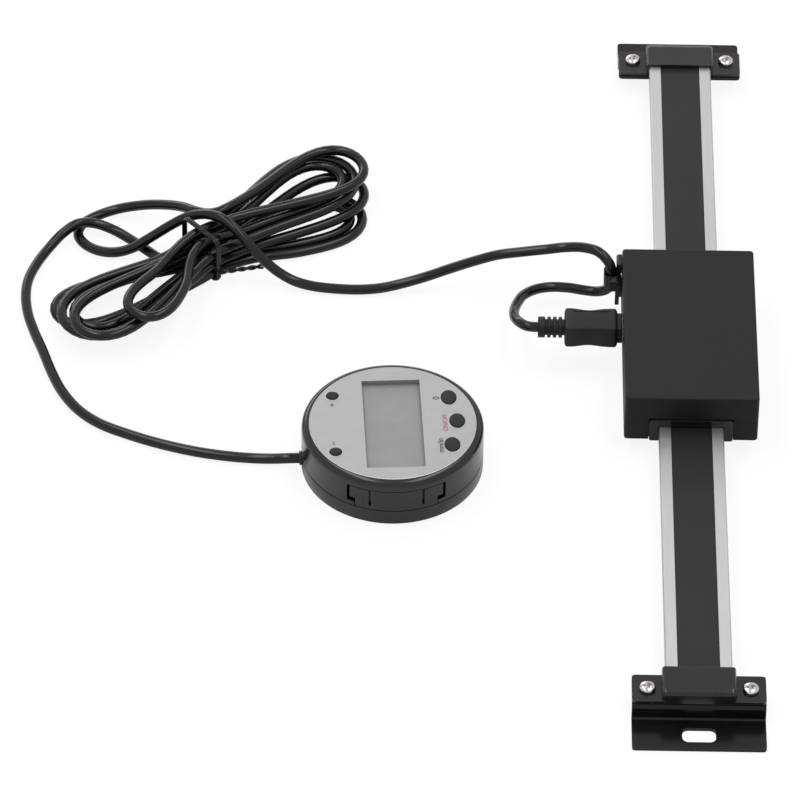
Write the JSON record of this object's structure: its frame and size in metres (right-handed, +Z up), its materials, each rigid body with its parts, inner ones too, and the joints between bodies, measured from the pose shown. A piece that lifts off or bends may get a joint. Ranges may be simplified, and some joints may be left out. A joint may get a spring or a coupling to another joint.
{
  "type": "digital linear scale",
  "caption": "Measuring beam on slotted feet with a sliding reader head, and a round remote display joined to it by a thin cable tied in a hank.",
  "frame": {"origin": "middle of the bottom of the rigid pieces' box: the beam with its feet, the reader head and the round display, standing on one flat surface", "axes": "+Y along the beam, from the foot near the viewer to the far one; +Z up from the surface; +X from the display towards the beam"},
  "size_m": [0.2477, 0.3556, 0.0243],
  "materials": {
    "cast_metal": "satin silver",
    "black_strip": "satin black",
    "black_sheet": "satin black paint on folded sheet",
    "bright_screw": "bright plated",
    "dark_plastic": "matt charcoal",
    "black_plastic": "satin black",
    "silver_plate": "fine brushed silver",
    "clear_lens": "clear",
    "liquid_crystal": "grey glass cell",
    "circuit_board": "green laminate",
    "white_plastic": "matt white",
    "spring_steel": "plain steel",
    "cable_jacket": "smooth black jacket"
  },
  "bodies": {
    "scale": {"beam": "cast_metal", "grating_strip": "black_strip", "front_bracket": "black_sheet", "rear_bracket": "black_sheet", "front_clamp": "black_sheet", "rear_clamp": "black_sheet", "front_clamp_screw_left": "bright_screw", "front_clamp_screw_right": "bright_screw", "rear_clamp_screw_left": "bright_screw", "rear_clamp_screw_right": "bright_screw"},
    "reader": {"reader_cover": "dark_plastic", "reader_base": "dark_plastic", "front_guide": "black_plastic", "rear_guide": "black_plastic", "reader_board": "circuit_board", "usb_socket": "spring_steel", "gib_spring": "spring_steel", "reader_screw_1": "bright_screw", "reader_screw_2": "bright_screw", "reader_screw_3": "bright_screw", "reader_screw_4": "bright_screw", "cable_anchor": "black_plastic", "cable_tie": "black_plastic", "display_case": "black_plastic", "back_cover": "black_plastic", "face_plate": "silver_plate", "window_lens": "clear_lens", "lcd_panel": "liquid_crystal", "lcd_holder": "white_plastic", "display_board": "circuit_board", "zero_switch": "spring_steel", "power_switch": "spring_steel", "unit_switch": "spring_steel", "upper_small_switch": "spring_steel", "lower_small_switch": "spring_steel", "contact_minus": "spring_steel", "contact_plus": "spring_steel", "magnet_left": "spring_steel", "magnet_right": "spring_steel", "case_screw_1": "bright_screw", "case_screw_2": "bright_screw", "case_screw_3": "bright_screw", "case_screw_4": "bright_screw", "cable_grommet": "black_plastic", "plug_lead": "cable_jacket", "cable_to_reader": "cable_jacket", "cable_hank": "cable_jacket", "cable_to_display": "cable_jacket", "wire_tie": "cable_jacket"},
    "plug": {"plug_body": "black_plastic", "plug_shell": "spring_steel", "plug_relief": "black_plastic"},
    "zero_button": {"zero_key": "black_plastic"},
    "power_button": {"power_key": "black_plastic"},
    "unit_button": {"unit_key": "black_plastic"},
    "upper_small_button": {"upper_small_key": "black_plastic"},
    "lower_small_button": {"lower_small_key": "black_plastic"},
    "drawer": {"battery_drawer": "black_plastic", "coin_cell": "spring_steel"}
  },
  "joints": [
    {"name": "reader_slide", "type": "slide", "parent": "scale", "child": "reader", "axis": [0, 1, 0], "range_m": [-0.1144, 0.1124]},
    {"name": "plug_pull", "type": "slide", "parent": "reader", "child": "plug", "axis": [-1, 0, 0], "range_m": [0, 0.009], "deforming": ["plug_lead"]},
    {"name": "zero_press", "type": "slide", "parent": "reader", "child": "zero_button", "axis": [0, 0, -1], "range_m": [0, 0.0005], "stiffness_N_per_m": 800, "springref_m": -0.0005},
    {"name": "power_press", "type": "slide", "parent": "reader", "child": "power_button", "axis": [0, 0, -1], "range_m": [0, 0.0005], "stiffness_N_per_m": 800, "springref_m": -0.0005},
    {"name": "unit_press", "type": "slide", "parent": "reader", "child": "unit_button", "axis": [0, 0, -1], "range_m": [0, 0.0005], "stiffness_N_per_m": 800, "springref_m": -0.0005},
    {"name": "upper_small_press", "type": "slide", "parent": "reader", "child": "upper_small_button", "axis": [0, 0, -1], "range_m": [0, 0.0005], "stiffness_N_per_m": 800, "springref_m": -0.0005},
    {"name": "lower_small_press", "type": "slide", "parent": "reader", "child": "lower_small_button", "axis": [0, 0, -1], "range_m": [0, 0.0005], "stiffness_N_per_m": 800, "springref_m": -0.0005},
    {"name": "drawer_slide", "type": "slide", "parent": "reader", "child": "drawer", "axis": [0.0602, -0.9982, 0], "range_m": [0, 0.026]}
  ]
}
